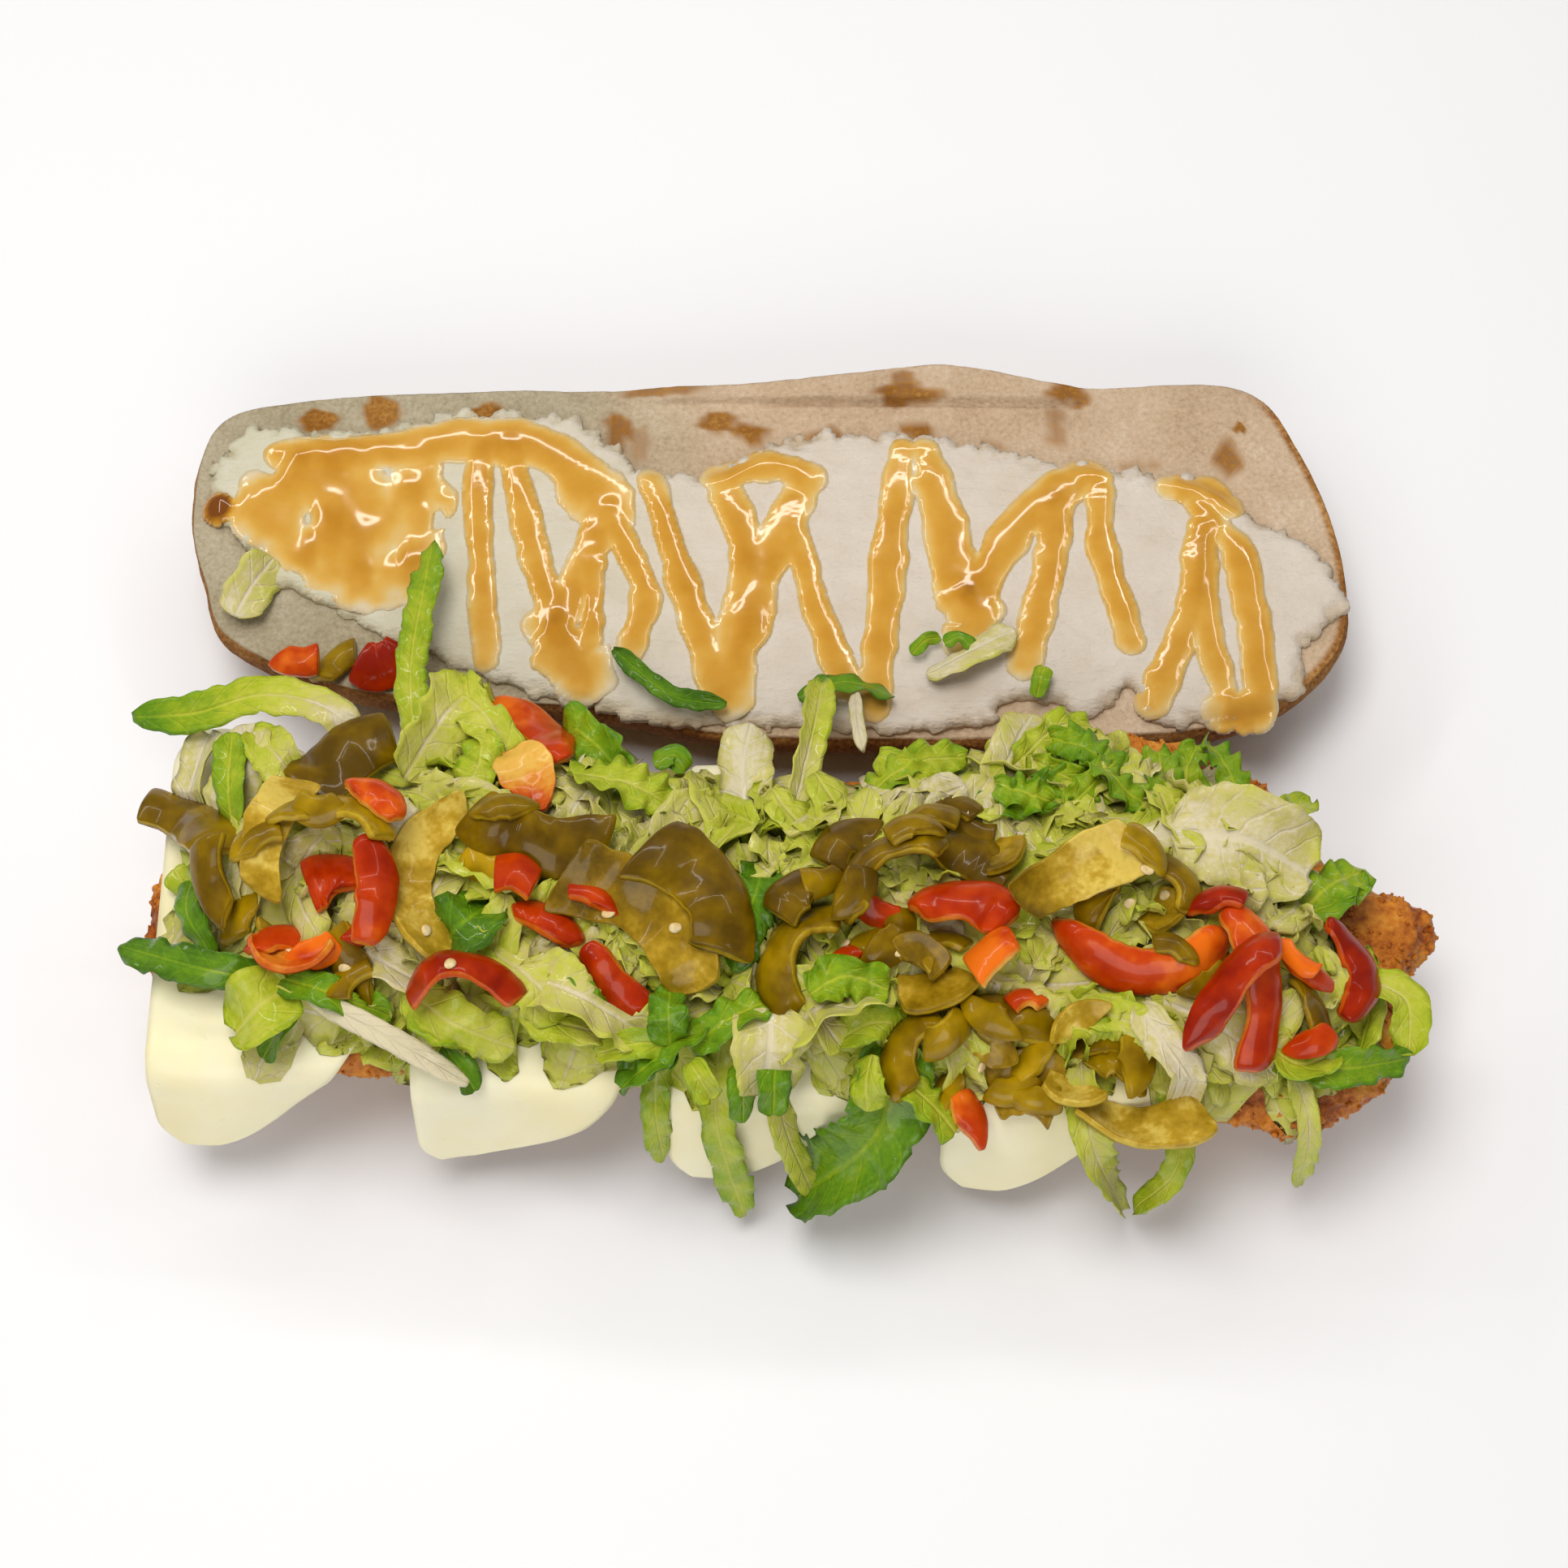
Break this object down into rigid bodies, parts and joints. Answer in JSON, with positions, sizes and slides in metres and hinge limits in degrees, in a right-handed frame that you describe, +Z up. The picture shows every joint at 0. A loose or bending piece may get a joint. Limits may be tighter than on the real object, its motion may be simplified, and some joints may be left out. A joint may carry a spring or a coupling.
{
  "type": "chicken sub sandwich",
  "caption": "Open chicken sub: lower roll with breaded cutlets, draped cheese, shredded lettuce and pepper strips; upper roll lies behind, cut side up, with spread and sauce lines.",
  "frame": {"origin": "bottom centre of the bounding box of the whole open sandwich", "axes": "+X along the roll to the right as eaten, +Y from the filled lower half towards the upper half behind it, +Z up from the table"},
  "size_m": [0.266, 0.1934, 0.0701],
  "materials": {
    "roll_crust": "baked wheat bread: thin brown crust outside, speckled beige crumb on the cut faces, soaked amber where sauce ran",
    "breaded_cutlet": "deep fried breadcrumb coating, rough and red-brown with darker crags",
    "sliced_cheese": "pale creamy cheese slice, smooth with a soft sheen",
    "white_spread": "whipped white spread with fine ragged ridges, and glossy golden sauce in thick lines on it",
    "lettuce": "crisp shredded leaf, translucent pale ribs to bright green edges, moist",
    "green_pepper": "pickled pepper, olive skin with a wet gloss and a yellower flesh inside",
    "red_pepper": "fresh red pepper, wet glossy skin with paler orange flesh inside"
  },
  "bodies": {
    "root": {"roll_bottom": "roll_crust", "roll_top": "roll_crust", "cutlet_left": "breaded_cutlet", "cutlet_right": "breaded_cutlet", "cheese_1": "sliced_cheese", "cheese_2": "sliced_cheese", "cheese_3": "sliced_cheese", "cheese_4": "sliced_cheese", "spread": "white_spread", "green_pepper_01": "green_pepper", "green_pepper_02": "green_pepper", "green_pepper_03": "green_pepper", "green_pepper_04": "green_pepper", "green_pepper_05": "green_pepper", "green_pepper_06": "green_pepper", "green_pepper_07": "green_pepper", "green_pepper_08": "green_pepper", "green_pepper_09": "green_pepper", "green_pepper_10": "green_pepper", "green_pepper_11": "green_pepper", "green_pepper_12": "green_pepper", "green_pepper_13": "green_pepper", "green_pepper_14": "green_pepper", "green_pepper_15": "green_pepper", "green_pepper_16": "green_pepper", "green_pepper_17": "green_pepper", "green_pepper_18": "green_pepper", "green_pepper_19": "green_pepper", "green_pepper_20": "green_pepper", "green_pepper_21": "green_pepper", "green_pepper_22": "green_pepper", "green_pepper_23": "green_pepper", "green_pepper_24": "green_pepper", "green_pepper_25": "green_pepper", "green_pepper_26": "green_pepper", "red_pepper_01": "red_pepper", "red_pepper_02": "red_pepper", "red_pepper_03": "red_pepper", "red_pepper_04": "red_pepper", "red_pepper_05": "red_pepper", "red_pepper_06": "red_pepper", "red_pepper_07": "red_pepper", "red_pepper_08": "red_pepper", "red_pepper_09": "red_pepper", "red_pepper_10": "red_pepper", "red_pepper_11": "red_pepper", "red_pepper_12": "red_pepper", "red_pepper_13": "red_pepper", "red_pepper_14": "red_pepper", "red_pepper_15": "red_pepper", "red_pepper_16": "red_pepper", "red_pepper_17": "red_pepper", "red_pepper_18": "red_pepper", "red_pepper_19": "red_pepper", "red_pepper_20": "red_pepper", "lettuce_scrap_1": "lettuce", "lettuce_scrap_2": "lettuce", "lettuce_scrap_3": "lettuce", "lettuce": "lettuce"}
  },
  "joints": []
}
